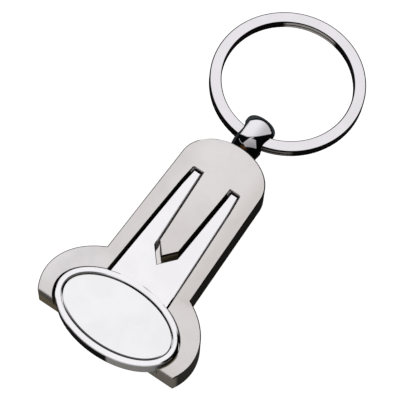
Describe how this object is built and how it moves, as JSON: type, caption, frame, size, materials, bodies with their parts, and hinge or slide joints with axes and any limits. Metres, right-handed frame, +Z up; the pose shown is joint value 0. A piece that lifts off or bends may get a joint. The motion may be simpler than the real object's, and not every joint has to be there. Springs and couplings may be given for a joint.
{
  "type": "golf divot tool keyring",
  "caption": "Pronged golf divot fork with an oval ball marker, held by magnets in the pocket of a flat metal holder, with a swivel barrel and a split key ring.",
  "frame": {"origin": "centre of the whole part's footprint, at the level of the holder's back", "axes": "+Y from the oval head to the ring, +Z up out of the holder's face, +X across"},
  "size_m": [0.0344, 0.0856, 0.0074],
  "materials": {
    "satin_nickel": "satin nickel plate on a zinc casting, polished sides",
    "polished_steel": "mirror polished plate",
    "marker_steel": "fine polished plate",
    "magnet": "nickel plated magnet",
    "barrel_chrome": "bright chrome",
    "pin_steel": "plain turned steel",
    "ring_steel": "polished flat wire"
  },
  "bodies": {
    "holder": {"holder_body": "satin_nickel", "holder_magnet": "magnet", "retaining_pin": "pin_steel", "swivel_washer": "pin_steel"},
    "fork": {"divot_fork": "polished_steel", "marker_magnet": "magnet"},
    "marker": {"ball_marker": "marker_steel"},
    "swivel": {"swivel_barrel": "barrel_chrome"},
    "ring": {"split_ring": "ring_steel"}
  },
  "joints": [
    {"name": "fork_lift", "type": "slide", "parent": "holder", "child": "fork", "axis": [0, 0, 1], "range_m": [0, 0.006]},
    {"name": "marker_lift", "type": "slide", "parent": "fork", "child": "marker", "axis": [0, 0, 1], "range_m": [0, 0.005]},
    {"name": "barrel_swivel", "type": "hinge", "parent": "holder", "child": "swivel", "pos_m": [0, 0.00821, 0.00355], "axis": [0, 1, 0], "continuous": true},
    {"name": "ring_swing", "type": "hinge", "parent": "swivel", "child": "ring", "pos_m": [0, 0.0124, 0.00355], "axis": [1, 0, 0], "range_deg": [-150, 150]}
  ]
}
